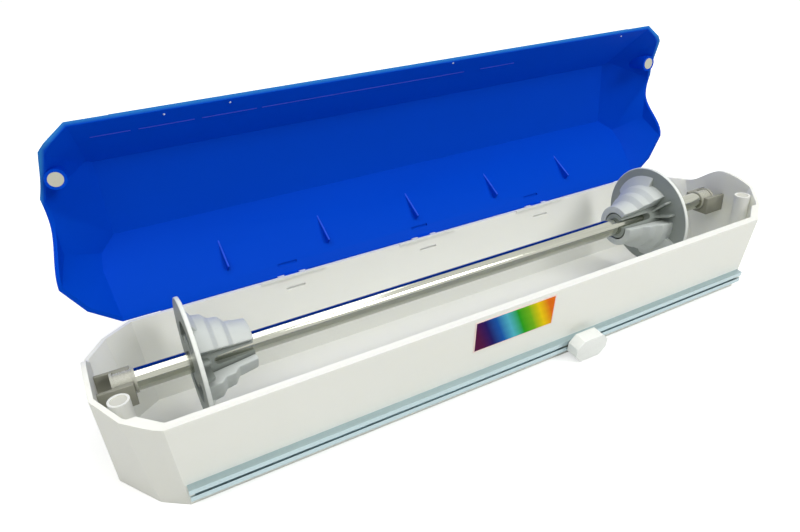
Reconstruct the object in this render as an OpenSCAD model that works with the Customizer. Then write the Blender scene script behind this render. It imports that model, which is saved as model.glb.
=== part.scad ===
// Table-top dispenser for rolls of cling film and foil: a faceted trough with a hinged lid, a spindle
// with two stepped roll holders, and a cutter that runs along a rail on the front.
// Millimetres, +Z up, +X to the right seen from the front. The origin is the middle of the underside.

/* [Trough] */

// Length of the trough
box_l = 560; // [540:1:600]
// Depth of the trough at its rim
box_w = 138; // [134:1:146]
// Height of the rim
box_h = 68; // [66:0.5:72]
// Thickness of the trough's walls
wall = 3; // [2.6:0.1:3.4]
// Thickness of the trough's floor
floor_t = 3; // [2.4:0.1:4]
// Distance the front and back walls lean in from rim to floor
lean_in = 10.5; // [9:0.25:12]
// Width of the rim's top face
rim_w = 6; // [5:0.25:7]
// Thickness of the rim's inner flange
rim_t = 3.5; // [2.5:0.25:4.5]
// Length that the outer corner facet takes off the front
facet_x = 33; // [30:0.5:36]
// Distance of the middle corner point from the end
facet_mid_x = 12.7; // [11.5:0.1:14]
// Distance of the middle corner point from the front
facet_mid_y = 15.3; // [14:0.1:16.5]
// Length that the inner corner facet takes off the end
facet_y = 36; // [34:0.5:38]

/* [End humps] */

// Height of the hump on each end wall
hump_h = 19; // [15:0.5:21]
// Distance of the hump's top in front of the middle
hump_front = 8; // [6:0.5:10]
// Length of the hump from its top to the front
hump_fore = 57; // [52:0.5:58]
// Length of the hump from its top to the back
hump_aft = 42; // [38:0.5:44]

/* [Lid] */

// Angle of the lid in the open position
lid_open = 90; // [88:0.5:92]
// Inside depth of the lid
lid_d = 45; // [43:0.5:50]
// Thickness of the lid's walls
lid_wall = 2.5; // [2.2:0.1:2.8]
// Overhang of the lid at the front
lid_front = 7; // [6:0.25:9]
// Overhang of the lid at the back
lid_back = 2.5; // [2.3:0.05:2.8]
// Overhang of the lid at each end
lid_end = 4; // [3.5:0.25:5]
// Gap between the trough's rim and the lid's edge
lid_gap = 0.4; // [0.3:0.05:0.6]
// Distance the lid's front wall leans in from edge to roof
lid_front_lean = 37; // [34:0.5:39]
// Distance the lid's back wall leans in from edge to roof
lid_back_lean = 47; // [44:0.5:49]
// Distance the lid's corner facets lean in from edge to roof
lid_facet_lean = 34; // [31:0.5:36]
// Flat left on the lid's bevelled back edge
edge_land = 0.8; // [0.6:0.1:1.2]
// Height of the bevel inside the lid's back edge
edge_bevel = 4; // [3:0.25:5]
// Spacing of the lid's gusset ribs
rib_pitch = 84; // [80:0.5:90]
// Thickness of the gusset ribs
rib_t = 1.6; // [1.2:0.1:2]

/* [Hinge] */

// Distance of the outer hinges from the middle one
hinge_pitch = 122; // [110:1:126]
// Outside radius of the hinge knuckles
knuckle_r = 2.6; // [2.4:0.05:2.7]
// Radius of the hinge pins
pin_r = 1.25; // [1.1:0.05:1.4]
// Length of a lid knuckle
lid_knuckle = 12; // [10:0.5:16]
// Length of a trough knuckle
box_knuckle = 5; // [4:0.25:7]
// Radial clearance of a lid knuckle on its pin
pin_fit = 0.05; // [0.03:0.01:0.08]

/* [Latch] */

// Distance of the latch bosses from the trough's end
latch_x = 15; // [14.5:0.25:16]
// Distance of the latch bosses from the trough's front edge
latch_front = 30.5; // [30:0.25:32]
// Outside radius of the trough's latch bosses
boss_r = 6.4; // [6.2:0.1:7]
// Outside radius of the lid's latch bosses
latch_r = 7; // [6.5:0.1:7.5]
// Radius of the magnets and of their steel seats
magnet_r = 5; // [4.5:0.1:5.4]
// Thickness of the magnets and of their steel seats
magnet_t = 3; // [2.5:0.1:3.5]
// Height of the trough's bosses above the rim
latch_up = 8.5; // [7.5:0.25:9]

/* [Spindle] */

// Height of the spindle's axis
axis_z = 62; // [60:0.5:64]
// Outside radius of the steel tube
shaft_r = 7.5; // [7:0.1:8]
// Wall thickness of the steel tube
shaft_wall = 1.2; // [0.9:0.1:1.6]
// Distance of the tube's ends from the trough's ends
shaft_end = 27; // [26:0.25:28]
// Length of an end cap's bearing
cap_bearing = 11.5; // [10.5:0.25:12]
// Height of the end caps' ridges
cap_ridge = 1; // [0.6:0.1:1.4]
// Radial clearance of a bearing in its cradle
cradle_fit = 0.06; // [0.04:0.01:0.09]
// Thickness of a cradle's cheeks
cheek_t = 4.5; // [4:0.25:5.5]
// Height of a cradle's cheeks above the spindle's axis
cheek_up = 4.5; // [3:0.25:5.5]
// Distance of a cradle's underside below the spindle's axis
cradle_under = 11; // [10.5:0.25:14]

/* [Roll holders] */

// Distance of the left flange from the tube's left end
left_in = 38; // [30:1:48]
// Distance of the right flange from the tube's right end
right_in = 63; // [53:1:73]
// Radius of the flanges
flange_r = 44; // [42:0.5:45]
// Thickness of the flanges
flange_t = 3; // [2.6:0.1:3.4]
// Length of a cone
cone_l = 37; // [35:0.5:40]
// Radius of the foot under each half of a cone
foot_r = 37; // [35:0.5:39]
// Height of the foot
foot_h = 4; // [3:0.25:5]
// Half the angle that the foot spans
foot_turn = 36; // [30:1:45]
// Half the angle that each half of a cone spans
half_turn = 67; // [62:1:70]
// Radius of the widest step
step_r = 30; // [28.5:0.5:31]
// Change of radius from step to step
step_drop = 5.3; // [4.8:0.1:5.6]
// Distance from step to step
step_l = 10; // [9:0.25:11]
// Length of the slope between two steps
step_slope = 3.5; // [3:0.25:4.5]
// Taper of a step, as loss of radius for each length
step_taper = 0.15; // [0.1:0.01:0.18]
// Wall thickness of the cones
step_wall = 2.2; // [1.8:0.1:2.6]
// Radius of a hub at the flange
hub_foot_r = 16.5; // [15:0.25:17.5]
// Radius of a hub at its free end
hub_r = 10.8; // [10.2:0.1:11.4]
// Gap between a hub and the halves of its cone
hub_gap = 1.2; // [0.8:0.1:1.6]
// Radial clearance of a hub on the tube
hub_fit = 0.05; // [0.03:0.01:0.08]
// Width of the slots in a hub
hub_slot = 5.6; // [5:0.1:6.4]
// Distance of the slots from the flange
hub_slot_up = 9.5; // [8:0.25:12]
// Height of the webs beside a hub
web_h = 6; // [4:0.25:7]
// Turn of the left holder in the rest position
left_turn = 15; // [0:1:60]
// Turn of the right holder in the rest position
right_turn = 31; // [0:1:60]

/* [Cutter] */

// Height of the rail
rail_h = 10; // [9:0.25:11]
// Thickness of the rail
rail_t = 5; // [4.6:0.1:5.6]
// Height of the rail's lower edge on the front wall
rail_up = 8.5; // [6:0.25:10]
// Distance of the rail's ends from the straight part's ends
rail_end = 4; // [3:0.5:6]
// Opening of the rail's slot
slot_h = 2.2; // [2:0.1:2.6]
// Thickness of the rail's lips and back
rail_skin = 1.1; // [0.9:0.05:1.2]
// Clearance of the shoe in the rail
shoe_fit = 0.25; // [0.2:0.05:0.3]
// Length of the shoe
shoe_l = 34; // [30:1:38]
// Length of the shoe's neck
neck_l = 15; // [12:0.5:17]
// Place of the cutter along the rail
cutter_at = 61; // [50:1:80]
// Width of the cutter's knob
knob_w = 30; // [28:0.5:32]
// Height of the cutter's knob
knob_h = 20; // [18:0.5:22]
// Thickness of the cutter's knob
knob_t = 10.5; // [10:0.25:12]
// Length that the clipped corners take off the knob
knob_clip = 6; // [5:0.25:7]

/* [Label] */

// Length of the label
label_w = 70; // [60:1:80]
// Height of the label
label_h = 27; // [24:0.5:28]
// Distance of the label's middle to the left
label_left = 5; // [0:1:20]

/* [Hidden] */

$fn = 48;
far = 900;
lean_a = atan(lean_in / box_h);
hump_y = -hump_front;
f1 = [box_l / 2 - facet_x, -box_w / 2];
f2 = [box_l / 2 - facet_mid_x, -box_w / 2 + facet_mid_y];
f3 = [box_l / 2, -box_w / 2 + facet_y];
box_corner = [f1, f2, f3];

lid_z = box_h + lid_gap;
lid_w = box_w + lid_front + lid_back;
lid_y = (lid_back - lid_front) / 2;
lid_l = box_l + 2 * lid_end;
lid_corner = [
  [lid_l / 2 - facet_x, -lid_w / 2],
  [lid_l / 2 - facet_mid_x, -lid_w / 2 + facet_mid_y],
  [lid_l / 2, -lid_w / 2 + facet_y],
];
lid_top = lid_z + lid_d;
end_step = hump_h + 1;
end_lean = 0.35 * end_step;
roof_end = 33;
arch_gap = 0.4;
arch_l = box_l / 10;

hinge_drop = 3;
hinge_y = box_w / 2 + lid_back;
hinge_z = box_h - hinge_drop;
hinge_xs = [-hinge_pitch, 0, hinge_pitch];
knuckle_gap = 0.4;
lid_back_a = atan(lid_back_lean / lid_d);
tab_l = 54;
tab_t = 1.6;
tab_up = 1.2;
tab_gap = 0.6;
tab_y = hinge_y - lid_wall / cos(lid_back_a) - (tab_up - lid_gap) * tan(lid_back_a) - tab_t - tab_gap;
pin_l = lid_knuckle + 2 * knuckle_gap + 2 * box_knuckle;
knuckle_in = 2;
knuckle_root = 2;
slit_l = 16;
slit_t = 1.6;
slit_drop = 10.2;
slit_in = 9;
slit_skin = 1.2;

latch_xc = box_l / 2 - latch_x;
latch_y = box_w / 2 - latch_front;
latch_top = box_h + latch_up;
latch_gap = 0.8;
magnet_z = latch_top + latch_gap;
seat_drop = 0.5;

tube_half = box_l / 2 - shaft_end;
ridge_l = 1.6;
ridge_gap = 0.8;
plug_l = 12;
cap_half = tube_half + ridge_l + cap_bearing + ridge_l;
bore_r = shaft_r - shaft_wall;
cradle_play = 0.5;
cradle_x0 = tube_half + ridge_l + cradle_play;
cradle_x1 = tube_half + ridge_l + cap_bearing - cradle_play;
cradle_x2 = box_l / 2 - wall;
cradle_half = shaft_r + cradle_fit + cheek_t;

left_at = tube_half - left_in;
right_at = tube_half - right_in;
hub_bore = shaft_r + hub_fit;
web_t = 1.8;
web_turn = 10;
web_r = 33;
steps = 3;

front_y = -box_w / 2 + lean_in;
rail_half = box_l / 2 - facet_x - rail_end;
rail_mid = rail_up + rail_h / 2;
stop_l = 3;
shoe_h = rail_h - 2 * rail_skin - 2 * shoe_fit;
shoe_t = rail_t - 2 * rail_skin - 2 * shoe_fit;
neck_h = slot_h - 2 * shoe_fit;
knob_gap = 0.6;
blade_t = 0.6;
blade_w = 5;
blade_root = 4;
blade_gap = 0.5;
blade_x = neck_l / 2 + blade_gap;
label_t = 0.4;
label_drop = 3;

gusset_low = 11;
gusset_high = 34;
gusset_tip = 5;
gusset_out = 7;

white = [0.93, 0.92, 0.88];
blue = [0.02, 0.22, 0.78];
grey = [0.72, 0.75, 0.74];
dark_grey = [0.45, 0.47, 0.44];
steel = [0.78, 0.79, 0.8];
rail_blue = [0.62, 0.7, 0.76];

// Height of the hump at a share of its length, from its top to one end; a power under 1 makes it fuller
function hump(share, power) = hump_h * pow(0.5 + 0.5 * cos(180 * share), power);

// Outline of the rim at the ends from the front to the back, raised by extra
function hump_line(extra) = concat(
  [for (i = [16:-1:1]) [hump_y - hump_fore * i / 16, box_h + hump(i / 16, 0.6) + extra]],
  [for (i = [0:16]) [hump_y + hump_aft * i / 16, box_h + hump(i / 16, 1) + extra]]
);

// A list from its end to its start
function backwards(list) = [for (i = [len(list) - 1:-1:0]) list[i]];

// Both ends of a cone's step as radius and height; the last step runs to the cone's end
function tread(i) =
  let (
    low = i == 0 ? 0 : i * step_l + step_slope,
    high = i == steps - 1 ? cone_l : (i + 1) * step_l,
    r = step_r - i * step_drop
  )
  [[r, low], [r - step_taper * (high - low), high]];

// Outline of a cone's steps moved in by inset
function step_line(inset) =
  [for (i = [0:steps - 1]) for (p = tread(i)) [p[0] - inset, min(p[1], cone_l - inset)]];

// Extrudes a profile drawn in Y and Z along X from x0 to x1
module along_x(x0, x1) {
  translate([x0, 0, 0])
    rotate([90, 0, 90])
      linear_extrude(x1 - x0)
        children();
}

// Everything outside the wall that stands on the line from p to q at height z0 and leans by angle
module outside(p, q, inset, angle, z0) {
  translate([p[0], p[1], z0])
    rotate([0, 0, atan2(q[1] - p[1], q[0] - p[0])])
      rotate([angle, 0, 0])
        translate([-far, inset - far, -far])
          cube([2 * far, far, 2 * far]);
}

// Copies its children to all four corners
module four_corners() {
  for (mx = [0, 1])
    for (my = [0, 1])
      mirror([mx, 0, 0])
        mirror([0, my, 0])
          children();
}

// Both facets of a front right corner
module corner_cut(points, inset, angle, z0) {
  outside(points[0], points[1], inset, angle, z0);
  outside(points[1], points[2], inset, angle, z0);
}

// The trough's outer form moved in by inset, from height low to high
module trough_form(inset, low, high) {
  difference() {
    translate([-box_l / 2 + inset, -box_w, low])
      cube([box_l - 2 * inset, 2 * box_w, high - low]);
    outside([-10, -box_w / 2], [10, -box_w / 2], inset, lean_a, box_h);
    outside([10, box_w / 2], [-10, box_w / 2], inset, lean_a, box_h);
    four_corners()
      corner_cut(box_corner, inset, lean_a, box_h);
  }
}

// The lid's outer form in the closed position, moved in by inset
module lid_form(inset, low, high) {
  difference() {
    translate([-far / 2, -far / 2, low])
      cube([far, far, high - low]);
    translate([0, lid_y, 0]) {
      outside([-10, -lid_w / 2], [10, -lid_w / 2], inset, -atan(lid_front_lean / lid_d), lid_z);
      outside([10, lid_w / 2], [-10, lid_w / 2], inset, -atan(lid_back_lean / lid_d), lid_z);
      four_corners()
        corner_cut(lid_corner, inset, -atan(lid_facet_lean / lid_d), lid_z);
    }
    for (mx = [0, 1])
      mirror([mx, 0, 0]) {
        outside([lid_l / 2, -10], [lid_l / 2, 10], inset, -atan(end_lean / end_step), lid_z);
        outside([lid_l / 2 - end_lean, -10], [lid_l / 2 - end_lean, 10], inset,
          -atan(roof_end / (lid_d - end_step)), lid_z + end_step);
      }
  }
}

// Turns the closed lid into the open position
module opened() {
  translate([0, hinge_y, hinge_z])
    rotate([-lid_open, 0, 0])
      translate([0, -hinge_y, -hinge_z])
        children();
}

// Frame on the front wall: Z up the wall, -Y out of it
module on_front() {
  translate([0, front_y, 0])
    rotate([lean_a, 0, 0])
      children();
}

// Knuckle of length l at x, with a leg towards the depth y and the height z
module knuckle(x, l, y0, y1, z0, z1) {
  translate([x - l / 2, hinge_y, hinge_z])
    rotate([0, 90, 0])
      cylinder(r = knuckle_r, h = l);
  translate([x - l / 2, y0, z0])
    cube([l, y1 - y0, z1 - z0]);
}

// Hole for a hinge pin of radius r
module pin_hole(x, r) {
  translate([x - pin_l, hinge_y, hinge_z])
    rotate([0, 90, 0])
      cylinder(r = r, h = 2 * pin_l);
}

module box_knuckles() {
  for (x = hinge_xs)
    for (s = [-1, 1])
      knuckle(x + s * (lid_knuckle + 2 * knuckle_gap + box_knuckle) / 2, box_knuckle,
        hinge_y - lid_back - wall, hinge_y, hinge_z - knuckle_r, hinge_z + knuckle_r);
}

module lid_knuckles() {
  for (x = hinge_xs)
    knuckle(x, lid_knuckle, hinge_y - knuckle_in, hinge_y + knuckle_r - knuckle_gap, hinge_z,
      lid_z + knuckle_root);
}

// Raised stretch of rim beside each hinge, clear of the closed lid's back wall
module rim_tabs() {
  for (x = hinge_xs)
    translate([x - tab_l / 2, tab_y, box_h - 1])
      cube([tab_l, tab_t, tab_up + 1]);
}

module trough_walls() {
  intersection() {
    difference() {
      trough_form(0, 0, 2 * box_h);
      trough_form(wall, floor_t, 2 * box_h + 1);
    }
    along_x(-box_l, box_l)
      polygon(concat([[-box_w, -1], [-box_w, box_h]], hump_line(0), [[box_w, box_h], [box_w, -1]]));
  }
}

// Inner flange along the front and the outer corner facets, which climbs with the humps
module rim_flange() {
  intersection() {
    difference() {
      trough_form(wall / 2, 0, 2 * box_h);
      trough_form(rim_w, -1, 2 * box_h + 1);
    }
    along_x(-box_l, box_l)
      polygon(concat([[-box_w, box_h - rim_t], [-box_w, box_h]], hump_line(0), backwards(hump_line(-rim_t))));
    translate([-box_l, -box_w, 0])
      cube([2 * box_l, box_w / 2 + facet_mid_y, 2 * box_h]);
  }
}

module latch_bosses() {
  intersection() {
    for (s = [-1, 1])
      translate([s * latch_xc, -latch_y, 0])
        cylinder(r = boss_r, h = latch_top);
    trough_form(wall / 2, 0, 2 * box_h);
  }
}

module base_trough() {
  color(white)
    difference() {
      union() {
        trough_walls();
        rim_flange();
        latch_bosses();
        box_knuckles();
        rim_tabs();
      }
      for (s = [-1, 1])
        translate([s * latch_xc, -latch_y, latch_top - magnet_t - seat_drop])
          cylinder(r = magnet_r, h = magnet_t + 2 * seat_drop);
      for (x = hinge_xs) {
        pin_hole(x, pin_r);
        translate([x - slit_l / 2, box_w / 2 - lean_in - wall, box_h - slit_drop])
          cube([slit_l, box_w, slit_t]);
      }
    }
}

module latch_seats() {
  color(steel)
    for (s = [-1, 1])
      translate([s * latch_xc, -latch_y, latch_top - magnet_t - seat_drop])
        cylinder(r = magnet_r, h = magnet_t);
}

module hinge_pins() {
  color(steel)
    for (x = hinge_xs)
      translate([x - pin_l / 2, hinge_y, hinge_z])
        rotate([0, 90, 0])
          cylinder(r = pin_r, h = pin_l);
}

// Channel of radius r along the spindle's axis, open at the top
module channel(x0, x1, r) {
  along_x(x0, x1)
    translate([0, axis_z]) {
      circle(r = r);
      translate([-r, 0])
        square(2 * r);
    }
}

// Cradle on the right end wall: a snug seat for the bearing, then room for the cap's outer ridge
module cradle() {
  color(dark_grey)
    difference() {
      translate([cradle_x0, -cradle_half, axis_z - cradle_under])
        cube([cradle_x2 - cradle_x0, 2 * cradle_half, cradle_under + cheek_up]);
      channel(cradle_x0 - 1, cradle_x1 + 1, shaft_r + cradle_fit);
      channel(cradle_x1, cradle_x2 + 1, shaft_r + cap_ridge + ridge_gap);
    }
}

module right_cradle() {
  cradle();
}

module left_cradle() {
  mirror([1, 0, 0])
    cradle();
}

module shaft_tube() {
  color(steel)
    along_x(-tube_half, tube_half)
      translate([0, axis_z])
        difference() {
          circle(r = shaft_r);
          circle(r = bore_r);
        }
}

// End cap on the right: plug, inner ridge, bearing and outer ridge
module cap() {
  color(grey)
    translate([0, 0, axis_z])
      rotate([0, 90, 0]) {
        translate([0, 0, tube_half - plug_l])
          cylinder(r = bore_r, h = plug_l + ridge_l);
        translate([0, 0, tube_half])
          cylinder(r = shaft_r + cap_ridge, h = ridge_l);
        translate([0, 0, tube_half])
          cylinder(r = shaft_r, h = cap_half - tube_half);
        translate([0, 0, cap_half - ridge_l])
          cylinder(r = shaft_r + cap_ridge, h = ridge_l);
      }
}

module right_cap() {
  cap();
}

module left_cap() {
  mirror([1, 0, 0])
    cap();
}

// Places a holder drawn along +Z so that its cone points along +X from x
module holder_at(x, turn) {
  translate([x, 0, axis_z])
    rotate([-turn, 0, 0])
      rotate([0, 90, 0])
        children();
}

// Wedge about the X axis that spans half to each side, with both faces moved in by inset
module wedge(half, inset, low, high) {
  apex = inset / sin(half);
  reach = 2 * flange_r;
  translate([0, 0, low])
    linear_extrude(high - low)
      polygon([
        [apex, 0], [apex + reach * cos(half), -reach * sin(half)], [2 * reach, -reach * sin(half)],
        [2 * reach, reach * sin(half)], [apex + reach * cos(half), reach * sin(half)],
      ]);
}

// Hollow of one half of a cone, open at the flange and at the hub
module half_hollow() {
  intersection() {
    rotate_extrude($fn = 96)
      polygon(concat([[hub_bore, -1], [step_r - step_wall, -1]], step_line(step_wall),
        [[hub_bore, cone_l - step_wall]]));
    wedge(half_turn, step_wall, -1, cone_l);
  }
}

// Window through the flange behind one half of a cone
module window() {
  intersection() {
    translate([0, 0, -2 * flange_t])
      difference() {
        cylinder(r = step_r - step_wall, h = 3 * flange_t, $fn = 96);
        cylinder(r = hub_foot_r + hub_gap, h = 3 * flange_t, $fn = 96);
      }
    wedge(half_turn, step_wall, -2 * flange_t, flange_t);
  }
}

// One stepped half of a cone, with its foot
module cone_half() {
  difference() {
    union() {
      intersection() {
        rotate_extrude($fn = 96)
          polygon(concat([[hub_foot_r + hub_gap, 0]], step_line(0), [[hub_r + hub_gap, cone_l]]));
        wedge(half_turn, 0, 0, cone_l);
      }
      intersection() {
        rotate_extrude($fn = 96)
          polygon([
            [step_r - step_wall, 0], [foot_r, 0],
            [step_r - step_taper * foot_h, foot_h], [step_r - step_wall, foot_h],
          ]);
        wedge(foot_turn, 0, 0, foot_h);
      }
    }
    half_hollow();
  }
}

// Thin web on the flange, from the hub outwards
module web() {
  translate([0, web_t / 2, 0])
    rotate([90, 0, 0])
      linear_extrude(web_t)
        polygon([
          [hub_r, -flange_t / 2], [web_r, -flange_t / 2], [web_r, web_h - web_t],
          [web_r - web_t, web_h], [hub_r, web_h],
        ]);
}

// Flange disc with a slotted hub, two webs in each gap and a window behind each half of the cone
module flange() {
  difference() {
    union() {
      translate([0, 0, -flange_t])
        cylinder(r = flange_r, h = flange_t, $fn = 96);
      cylinder(r1 = hub_foot_r, r2 = hub_r, h = cone_l);
      for (side = [90, 270])
        for (s = [-1, 1])
          rotate(side + s * web_turn)
            web();
    }
    translate([0, 0, -flange_t - 1])
      cylinder(r = hub_bore, h = flange_t + cone_l + 2);
    for (side = [0, 180])
      rotate(side)
        window();
    translate([-hub_slot / 2, -hub_foot_r, hub_slot_up + hub_slot / 2])
      cube([hub_slot, 2 * hub_foot_r, cone_l]);
    translate([0, hub_foot_r, hub_slot_up + hub_slot / 2])
      rotate([90, 0, 0])
        cylinder(d = hub_slot, h = 2 * hub_foot_r);
  }
}

// Two stepped halves on the flange's face
module stepped_cone() {
  for (side = [0, 180])
    rotate(side)
      cone_half();
}

module left_flange() {
  color(grey)
    holder_at(-left_at, left_turn)
      flange();
}

module left_cone() {
  color(grey)
    holder_at(-left_at, left_turn)
      stepped_cone();
}

module right_flange() {
  color(grey)
    mirror([1, 0, 0])
      holder_at(-right_at, right_turn)
        flange();
}

module right_cone() {
  color(grey)
    mirror([1, 0, 0])
      holder_at(-right_at, right_turn)
        stepped_cone();
}

// Channel with two lips that leave a slot between them
module cutter_rail() {
  color(rail_blue)
    on_front()
      along_x(-rail_half, rail_half)
        difference() {
          translate([-rail_t, rail_up])
            square([rail_t, rail_h]);
          translate([-rail_t + rail_skin, rail_up + rail_skin])
            square([rail_t - 2 * rail_skin, rail_h - 2 * rail_skin]);
          translate([-rail_t - 1, rail_mid - slot_h / 2])
            square([rail_skin + 2, slot_h]);
        }
}

module rail_stops() {
  color(white)
    on_front()
      for (s = [-1, 1])
        translate([s * (rail_half - stop_l / 2), -rail_t / 2, rail_mid])
          cube([stop_l, rail_t - 2 * rail_skin, rail_h - 2 * rail_skin], center = true);
}

module cutter_shoe() {
  color(grey)
    on_front() {
      translate([cutter_at, -rail_t / 2, rail_mid])
        cube([shoe_l, shoe_t, shoe_h], center = true);
      translate([cutter_at - neck_l / 2, -rail_t - knob_gap, rail_mid - neck_h / 2])
        cube([neck_l, rail_t / 2 + knob_gap, neck_h]);
    }
}

// Knob with clipped corners, standing off the rail
module cutter_knob() {
  color(white)
    on_front()
      translate([cutter_at, -rail_t - knob_gap, rail_mid])
        difference() {
          rotate([90, 0, 0])
            linear_extrude(knob_t)
              polygon([
                [-knob_w / 2 + knob_clip, -knob_h / 2], [knob_w / 2 - knob_clip, -knob_h / 2],
                [knob_w / 2, -knob_h / 2 + knob_clip], [knob_w / 2, knob_h / 2 - knob_clip],
                [knob_w / 2 - knob_clip, knob_h / 2], [-knob_w / 2 + knob_clip, knob_h / 2],
                [-knob_w / 2, knob_h / 2 - knob_clip], [-knob_w / 2, -knob_h / 2 + knob_clip],
              ]);
          translate([blade_x, -blade_root, -blade_t / 2])
            cube([blade_w, 2 * blade_root, blade_t]);
        }
}

// Thin blade held in the knob, its edge inside the rail's slot
module cutter_blade() {
  color(steel)
    on_front()
      translate([cutter_at + blade_x, -rail_t - knob_gap, rail_mid - blade_t / 2])
        linear_extrude(blade_t)
          polygon([
            [0, -blade_root], [blade_w, -blade_root], [blade_w, 0],
            [blade_w / 2, knob_gap + rail_skin], [0, knob_gap + rail_skin / 2],
          ]);
}

module front_label() {
  color([0.8, 0.4, 0.3])
    on_front()
      translate([-label_left - label_w / 2, -label_t, (box_h - label_drop) / cos(lean_a) - label_h])
        cube([label_w, label_t, label_h]);
}

// Gusset rib on the inside of the lid's back wall
module gusset(x) {
  slope = lid_back_lean / lid_d;
  along_x(x - rib_t / 2, x + rib_t / 2)
    polygon([
      [hinge_y - gusset_low * slope, lid_z + gusset_low],
      [hinge_y - gusset_high * slope, lid_z + gusset_high],
      [hinge_y - gusset_low * slope - gusset_out, lid_z + gusset_tip],
    ]);
}

// Shell of the closed lid with its end arches and the bevel inside its back edge
module lid_walls() {
  bevel_y = hinge_y - lid_wall / cos(lid_back_a) - edge_bevel * tan(lid_back_a);
  difference() {
    lid_form(0, lid_z, lid_top + lid_wall);
    lid_form(lid_wall, lid_z - 1, lid_top);
    for (s = [-1, 1])
      along_x(s * box_l / 2 - arch_l, s * box_l / 2 + arch_l)
        polygon(concat([[-box_w, 0], [-box_w, lid_z]], hump_line(lid_gap + arch_gap),
          [[box_w, lid_z], [box_w, 0]]));
    along_x(-lid_l / 2 + facet_x, lid_l / 2 - facet_x)
      polygon([
        [hinge_y - edge_land, lid_z - 1], [hinge_y - edge_land, lid_z],
        [bevel_y, lid_z + edge_bevel], [bevel_y - 1, lid_z - 1],
      ]);
  }
}

module lid_closed() {
  difference() {
    union() {
      lid_walls();
      intersection() {
        union() {
          for (s = [-1, 1])
            translate([s * latch_xc, -latch_y, magnet_z])
              cylinder(r = latch_r, h = lid_d);
          for (i = [-2:2])
            gusset(i * rib_pitch);
        }
        lid_form(lid_wall / 2, 0, lid_top + 1);
      }
      lid_knuckles();
    }
    for (s = [-1, 1])
      translate([s * latch_xc, -latch_y, magnet_z - 1])
        cylinder(r = magnet_r, h = magnet_t + 1);
    for (x = hinge_xs)
      pin_hole(x, pin_r + pin_fit);
    intersection() {
      for (x = hinge_xs)
        translate([x - slit_l / 2, hinge_y - slit_in, lid_z])
          cube([slit_l, slit_t, lid_d]);
      lid_form(slit_skin, lid_z, lid_top);
    }
  }
}

module lid_shell() {
  color(blue)
    opened()
      lid_closed();
}

module lid_magnets() {
  color(steel)
    opened()
      for (s = [-1, 1])
        translate([s * latch_xc, -latch_y, magnet_z])
          cylinder(r = magnet_r, h = magnet_t);
}

base_trough();
left_cradle();
right_cradle();
cutter_rail();
rail_stops();
latch_seats();
hinge_pins();
front_label();
lid_shell();
lid_magnets();
shaft_tube();
left_cap();
right_cap();
left_flange();
left_cone();
right_flange();
right_cone();
cutter_knob();
cutter_shoe();
cutter_blade();
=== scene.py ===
"""Looks of a table-top dispenser for cling film and foil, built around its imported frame.

Everything is in the row frame: +X runs along the trough, +Y to the hinge, +Z up. Lengths are in metres, and
names that end in mm, px or deg are in millimetres, pixels or degrees.
"""

import logging
import math
from dataclasses import dataclass
from enum import Enum
from typing import Any, Callable

import bmesh
import bpy
from mathutils import Matrix, Vector


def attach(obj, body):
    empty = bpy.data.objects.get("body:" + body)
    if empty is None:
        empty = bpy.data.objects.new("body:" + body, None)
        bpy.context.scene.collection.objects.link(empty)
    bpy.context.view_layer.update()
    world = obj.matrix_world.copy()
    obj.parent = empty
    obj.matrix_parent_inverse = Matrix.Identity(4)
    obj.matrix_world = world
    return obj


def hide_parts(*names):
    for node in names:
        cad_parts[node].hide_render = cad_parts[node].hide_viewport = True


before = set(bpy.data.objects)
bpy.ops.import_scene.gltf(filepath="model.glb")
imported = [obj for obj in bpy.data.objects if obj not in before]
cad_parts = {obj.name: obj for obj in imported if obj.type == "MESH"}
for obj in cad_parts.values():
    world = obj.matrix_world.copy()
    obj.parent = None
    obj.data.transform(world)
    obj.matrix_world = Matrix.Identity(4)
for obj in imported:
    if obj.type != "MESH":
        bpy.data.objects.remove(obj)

log = logging.getLogger("dispenser")

Tree = bpy.types.NodeTree
Socket = bpy.types.NodeSocket
Material = bpy.types.Material
Piece = bpy.types.Object

MM = 0.001
IMAGE_WIDTH_PX = 800
SENSOR_MM = 36.0

# Height of the axis that the spindle and the roll holders turn about.
SPINDLE_AXIS_MM = 62.0

# Colour sockets of the mix node, by number because their names repeat for each type of data.
MIX_SHARE, MIX_LOW, MIX_HIGH, MIX_RESULT = 0, 6, 7, 2
# Values that a noise pattern seldom leaves.
NOISE_LOW, NOISE_HIGH = 0.3, 0.7

# Points of a copied node nearer than this are merged, and faces that meet flatter than this are joined.
MERGE_MM = 0.002
FLAT_DEG = 0.6
# Edges of a copied node sharper than this are rounded, in this many steps and with this profile, a round arc.
EDGE_DEG = 28.0
ROUND_STEPS = 2
ROUND_PROFILE = 0.5
# Sides of a thin rod or small dome, and rings of a small dome.
ROD_SIDES = 12
DOME_RINGS = 8


class Body(str, Enum):
    """The rigid bodies that new pieces ride on."""

    BASE = "base"
    LID = "lid"
    LEFT_HOLDER = "left_holder"
    RIGHT_HOLDER = "right_holder"
    CUTTER = "cutter"


class Slot(str, Enum):
    """Names of the record's material slots."""

    TROUGH = "trough_plastic"
    LID = "lid_plastic"
    HOLDER = "holder_plastic"
    CRADLE = "cradle_plastic"
    KNOB = "knob_plastic"


def linear(hex_colour: str) -> tuple[float, float, float, float]:
    """Turns an sRGB hex colour into linear light.

    Args:
        hex_colour: Six hex digits, with or without a leading mark.

    Returns:
        Red, green, blue and an alpha of one.
    """
    digits = hex_colour.lstrip("#")
    parts = [int(digits[i:i + 2], 16) / 255 for i in (0, 2, 4)]
    red, green, blue = [p / 12.92 if p <= 0.04045 else ((p + 0.055) / 1.055) ** 2.4 for p in parts]
    return red, green, blue, 1.0


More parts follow.
